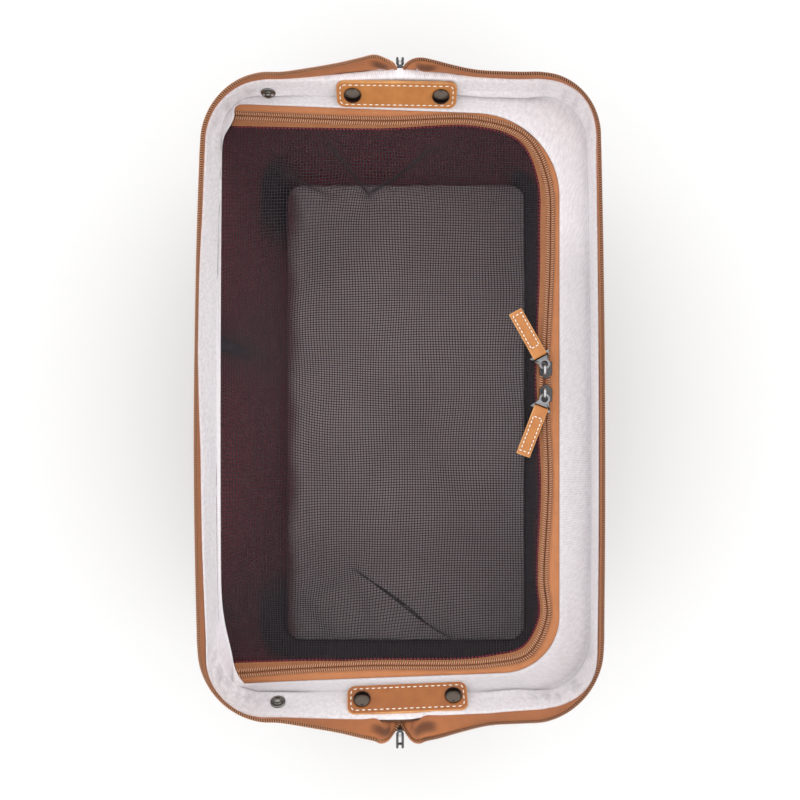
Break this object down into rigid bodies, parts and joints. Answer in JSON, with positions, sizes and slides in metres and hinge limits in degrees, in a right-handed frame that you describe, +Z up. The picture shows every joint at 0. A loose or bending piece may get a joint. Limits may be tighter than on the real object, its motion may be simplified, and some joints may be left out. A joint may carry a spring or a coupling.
{
  "type": "soft pet carrier",
  "caption": "Tall cloth pet carrier standing open: zipped rim, white collar inside it, net door zipped over a lined cabin with a floor pad, leather tabs and pulls.",
  "frame": {"origin": "middle of the plan, on the ground under the base", "axes": "+Z up; +Y along the length towards the head end; +X across, from the side on which the net door is hinged towards its zipped side"},
  "size_m": [0.283, 0.4866, 0.283],
  "materials": {
    "canvas": "plain woven canvas",
    "burgundy_lining": "matt lining cloth",
    "pad_cloth": "matt pad cloth",
    "white_lining": "soft white lining cloth",
    "net": "open knitted net",
    "zip_tape": "twill zip tape",
    "zip_coil": "moulded coil",
    "tan_leather": "smooth vegetable-tanned leather with waxed edges",
    "gunmetal": "polished gunmetal plating",
    "dark_snap": "glossy black-brown enamel"
  },
  "bodies": {
    "bag": {"outer_shell": "canvas", "cabin_lining": "burgundy_lining", "floor_pad": "pad_cloth", "collar_lining": "white_lining", "mesh_panel": "net", "door_zip_outer_tape": "zip_tape", "door_zip_inner_tape": "zip_tape", "door_zip_outer_coil": "zip_coil", "door_zip_inner_coil": "zip_coil", "rim_zip_left_tape": "zip_tape", "rim_zip_left_coil": "zip_coil", "rim_zip_right_tape": "zip_tape", "rim_zip_right_coil": "zip_coil", "upper_door_slider": "gunmetal", "lower_door_slider": "gunmetal", "head_rim_slider": "gunmetal", "foot_rim_slider": "gunmetal", "head_tab": "tan_leather", "head_left_cap": "dark_snap", "head_right_cap": "dark_snap", "foot_tab": "tan_leather", "foot_left_cap": "dark_snap", "foot_right_cap": "dark_snap", "head_stud": "dark_snap", "foot_stud": "dark_snap"},
    "upper_pull": {"upper_door_link": "gunmetal", "upper_door_pull": "tan_leather"},
    "lower_pull": {"lower_door_link": "gunmetal", "lower_door_pull": "tan_leather"},
    "head_bail": {"head_rim_bail": "gunmetal"},
    "foot_bail": {"foot_rim_bail": "gunmetal"}
  },
  "joints": [
    {"name": "upper_pull_lift", "type": "hinge", "parent": "bag", "child": "upper_pull", "pos_m": [0.1045, 0.02325, 0.2498], "axis": [1, 0, 0], "range_deg": [0, 95]},
    {"name": "lower_pull_lift", "type": "hinge", "parent": "bag", "child": "lower_pull", "pos_m": [0.1045, 0.00675, 0.2498], "axis": [-1, 0, 0], "range_deg": [0, 95]},
    {"name": "head_bail_lift", "type": "hinge", "parent": "bag", "child": "head_bail", "pos_m": [0.0005, 0.23635, 0.2575], "axis": [1, 0, 0], "range_deg": [0, 80]},
    {"name": "foot_bail_lift", "type": "hinge", "parent": "bag", "child": "foot_bail", "pos_m": [0.0005, -0.23035, 0.258], "axis": [-1, 0, 0], "range_deg": [0, 80]}
  ]
}
